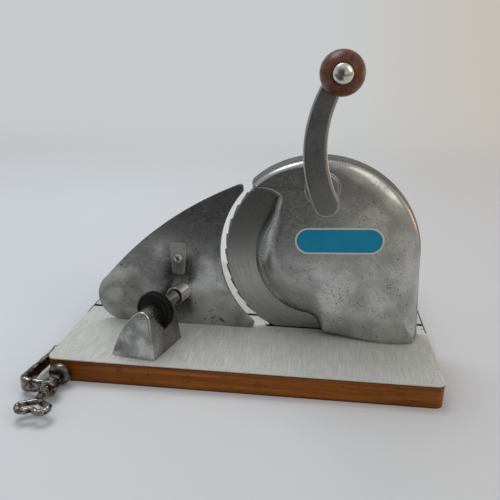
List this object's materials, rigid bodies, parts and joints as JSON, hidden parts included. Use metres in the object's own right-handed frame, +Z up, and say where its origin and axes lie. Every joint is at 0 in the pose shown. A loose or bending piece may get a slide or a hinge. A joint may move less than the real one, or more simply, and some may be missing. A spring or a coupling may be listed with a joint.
{
  "type": "hand crank bread slicer",
  "caption": "Hand crank bread slicer: toothed round blade in a cast housing on a laminated board, with a slice fence set by a thumbwheel and a folding table clamp.",
  "frame": {"origin": "centre of the board's underside, on the table", "axes": "+X to the right along the board's long side, +Y to the back, +Z up; the crank faces -Y"},
  "size_m": [0.341, 0.3121, 0.2685],
  "materials": {
    "beech": "oiled, worn edges",
    "laminate": "satin with a linen print",
    "dark_steel": "blackened",
    "cast_aluminium": "polished casting, worn and pitted",
    "badge_enamel": "printed foil with a silver border",
    "bronze": "turned",
    "blade_steel": "circular grind",
    "machined_steel": "turned",
    "screw_steel": "zinc plated, worn",
    "gear_steel": "cut teeth, greased",
    "knob_wood": "varnished",
    "chrome": "polished",
    "black_plastic": "moulded, knurled rim",
    "forged_iron": "worn nickel plate over forged iron"
  },
  "bodies": {
    "base": {"base_board": "beech", "laminate_top": "laminate", "side_strips": "dark_steel", "strip_screws": "screw_steel", "housing": "cast_aluminium", "housing_screws": "screw_steel", "badge": "badge_enamel", "crank_bush": "bronze", "blade_axle": "machined_steel", "axle_washer": "machined_steel", "axle_screw": "screw_steel", "fence_block": "cast_aluminium", "block_screws": "screw_steel", "clamp_ferrule": "dark_steel"},
    "crank": {"crank_arm": "cast_aluminium", "crank_shaft": "machined_steel", "crank_pinion": "gear_steel", "crank_pin": "screw_steel", "crank_washer": "machined_steel", "knob_rivet": "chrome", "knob_washer": "machined_steel"},
    "knob": {"knob": "knob_wood"},
    "blade": {"blade": "blade_steel", "blade_gear": "gear_steel", "blade_hub": "bronze", "blade_screws": "screw_steel"},
    "fence": {"fence_plate": "cast_aluminium", "fence_spindle": "machined_steel", "fence_clip": "cast_aluminium", "clip_screw": "screw_steel"},
    "thumbwheel": {"thumbwheel": "black_plastic", "thumbwheel_nut": "bronze"},
    "clamp": {"clamp_bracket": "forged_iron"},
    "clamp_pad": {"clamp_pad": "forged_iron"},
    "clamp_screw": {"clamp_spindle": "forged_iron", "clamp_handle": "forged_iron"}
  },
  "joints": [
    {"name": "blade_spin", "type": "hinge", "parent": "base", "child": "blade", "pos_m": [0.06, -0.0385, 0.0945], "axis": [0, -1, 0], "continuous": true},
    {"name": "crank_spin", "type": "hinge", "parent": "base", "child": "crank", "pos_m": [0.06, -0.0385, 0.1605], "axis": [0, -1, 0], "continuous": true},
    {"name": "knob_spin", "type": "hinge", "parent": "crank", "child": "knob", "pos_m": [0.0687, -0.1, 0.25249], "axis": [0, -1, 0], "continuous": true},
    {"name": "thumbwheel_turn", "type": "hinge", "parent": "base", "child": "thumbwheel", "pos_m": [-0.07768, -0.09047, 0.054], "axis": [0.2756, 0.9613, 0], "range_deg": [-1440, 360]},
    {"name": "fence_slide", "type": "slide", "parent": "base", "child": "fence", "axis": [0.2756, 0.9613, 0], "range_m": [-0.012, 0.003]},
    {"name": "clamp_swing", "type": "hinge", "parent": "base", "child": "clamp", "pos_m": [-0.164, -0.096, 0.01], "axis": [1, 0, 0], "range_deg": [0, 90]},
    {"name": "pad_travel", "type": "slide", "parent": "clamp", "child": "clamp_pad", "axis": [0, 1, 0], "range_m": [-0.006, 0.0018]},
    {"name": "screw_turn", "type": "hinge", "parent": "clamp_pad", "child": "clamp_screw", "pos_m": [-0.15, -0.15, 0.01], "axis": [0, 1, 0], "range_deg": [-1080, 324]}
  ],
  "couplings": [
    {"joint": "crank_spin", "follows": "blade_spin", "ratio": -2.6667},
    {"joint": "thumbwheel_turn", "follows": "fence_slide", "rad_per_m": 2094.4},
    {"joint": "screw_turn", "follows": "pad_travel", "rad_per_m": 3141.6}
  ]
}
